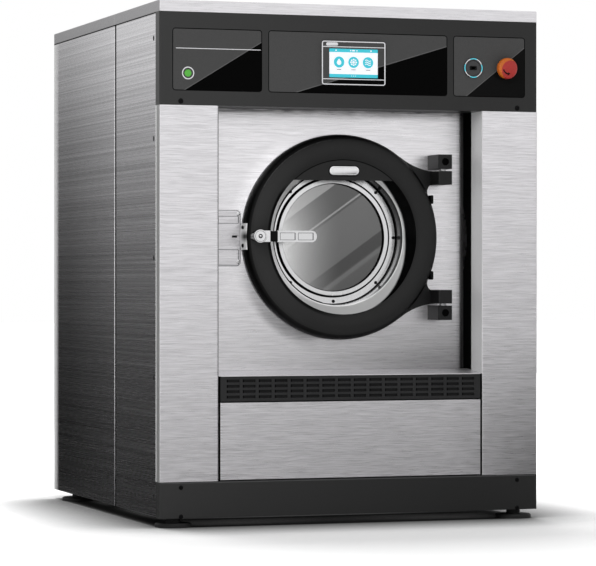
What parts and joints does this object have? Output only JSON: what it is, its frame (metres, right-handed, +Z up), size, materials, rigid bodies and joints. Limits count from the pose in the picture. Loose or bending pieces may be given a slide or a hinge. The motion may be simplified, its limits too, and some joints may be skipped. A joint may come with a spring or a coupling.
{
  "type": "washer-extractor",
  "caption": "Free-standing soft-mount washer-extractor in brushed steel with a recessed round door, lever handle, touchscreen fascia and stop button; drum spins on a belt drive.",
  "frame": {"origin": "on the floor, under the middle of the machine's outer box", "axes": "+X to the right seen from the front, +Y to the back, +Z up; the door faces -Y"},
  "size_m": [1.14, 1.29, 1.472],
  "materials": {
    "brushed_steel_panels": "horizontal brushed hairline",
    "black_coat": "satin black powder coat",
    "foot_rubber": "matte black",
    "dark_acrylic": "glossy black overlay",
    "bezel_plastic": "satin dark grey",
    "screen_glass": "lit display under a smooth cover",
    "stop_red": "satin red",
    "polished_steel": "polished stainless steel",
    "door_plastic": "satin black moulding",
    "door_window": "clear tempered glass",
    "seal_rubber": "black elastomer",
    "tub_steel": "bright stainless steel",
    "machined_steel": "ground steel",
    "cast_parts": "painted casting",
    "suspension_paint": "grey paint",
    "valve_parts": "glass-filled plastic"
  },
  "bodies": {
    "cabinet": {"base_frame": "black_coat", "levelling_feet": "foot_rubber", "upper_frame": "black_coat", "plinth_panel": "black_coat", "left_pillar": "brushed_steel_panels", "right_pillar": "brushed_steel_panels", "recess_sill": "brushed_steel_panels", "vent_grille": "black_coat", "lower_front_panel": "brushed_steel_panels", "control_fascia": "black_coat", "fascia_windows": "dark_acrylic", "touchscreen_bezel": "bezel_plastic", "touchscreen_display": "screen_glass", "usb_socket": "bezel_plastic", "stop_button_base": "bezel_plastic", "front_top_cover": "brushed_steel_panels", "rear_top_cover": "brushed_steel_panels", "front_side_panels": "brushed_steel_panels", "rear_side_panels": "brushed_steel_panels", "rear_panel": "brushed_steel_panels", "control_box": "black_coat", "water_inlet_valves": "valve_parts", "fill_hose": "seal_rubber", "drain_hose": "seal_rubber", "drain_outlet": "tub_steel", "cable_gland": "bezel_plastic", "damper_bodies": "suspension_paint", "suspension_springs": "suspension_paint"},
    "tub_group": {"door_panel": "brushed_steel_panels", "tub_shell": "tub_steel", "tub_front_plate": "tub_steel", "door_seal": "seal_rubber", "tub_cradle": "suspension_paint", "damper_rods": "machined_steel", "bearing_housing": "cast_parts", "shaft_bearings": "machined_steel", "motor": "cast_parts", "drive_belt": "seal_rubber", "drain_valve": "valve_parts", "lock_plate": "brushed_steel_panels", "lock_box": "valve_parts", "hinge_blocks": "black_coat", "hinge_pins": "machined_steel"},
    "drum": {"drum_shell": "tub_steel", "drum_lifters": "tub_steel", "drum_shaft": "machined_steel", "drum_pulley": "cast_parts"},
    "motor_rotor": {"motor_pulley": "machined_steel"},
    "door": {"door_ring": "door_plastic", "door_dish": "polished_steel", "window_rings": "polished_steel", "door_glass": "door_window", "glass_gasket": "seal_rubber", "hinge_arms": "black_coat", "latch_keeper": "polished_steel"},
    "handle": {"handle_hub": "polished_steel", "handle_collar": "door_plastic", "handle_lever": "polished_steel"},
    "stop_stem": {"stop_button_stem": "machined_steel"},
    "stop_head": {"stop_button_head": "stop_red"}
  },
  "joints": [
    {"name": "suspension_float", "type": "slide", "parent": "cabinet", "child": "tub_group", "axis": [0, 0, 1], "range_m": [-0.008, 0.008], "stiffness_N_per_m": 500000, "springref_m": 0.0084, "deforming": ["suspension_springs"]},
    {"name": "drum_spin", "type": "hinge", "parent": "tub_group", "child": "drum", "pos_m": [0, 0, 0.815], "axis": [0, 1, 0], "continuous": true},
    {"name": "motor_spin", "type": "hinge", "parent": "tub_group", "child": "motor_rotor", "pos_m": [0.21, 0.4, 0.25], "axis": [0, 1, 0], "continuous": true},
    {"name": "door_swing", "type": "hinge", "parent": "tub_group", "child": "door", "pos_m": [0.297, -0.556, 0.815], "axis": [0, 0, 1], "range_deg": [0, 135]},
    {"name": "handle_turn", "type": "hinge", "parent": "door", "child": "handle", "pos_m": [-0.27, -0.56, 0.815], "axis": [0, 1, 0], "range_deg": [0, 75], "stiffness_Nm_per_rad": 1.5, "springref_deg": -28.65},
    {"name": "stop_push", "type": "slide", "parent": "cabinet", "child": "stop_stem", "axis": [0, 1, 0], "range_m": [0, 0.006], "stiffness_N_per_m": 1500, "springref_m": -0.002},
    {"name": "stop_twist", "type": "hinge", "parent": "stop_stem", "child": "stop_head", "pos_m": [0.468, -0.62, 1.3025], "axis": [0, -1, 0], "range_deg": [0, 30], "stiffness_Nm_per_rad": 0.4, "springref_deg": -5.73}
  ],
  "couplings": [
    {"joint": "motor_spin", "follows": "drum_spin", "ratio": 4}
  ]
}
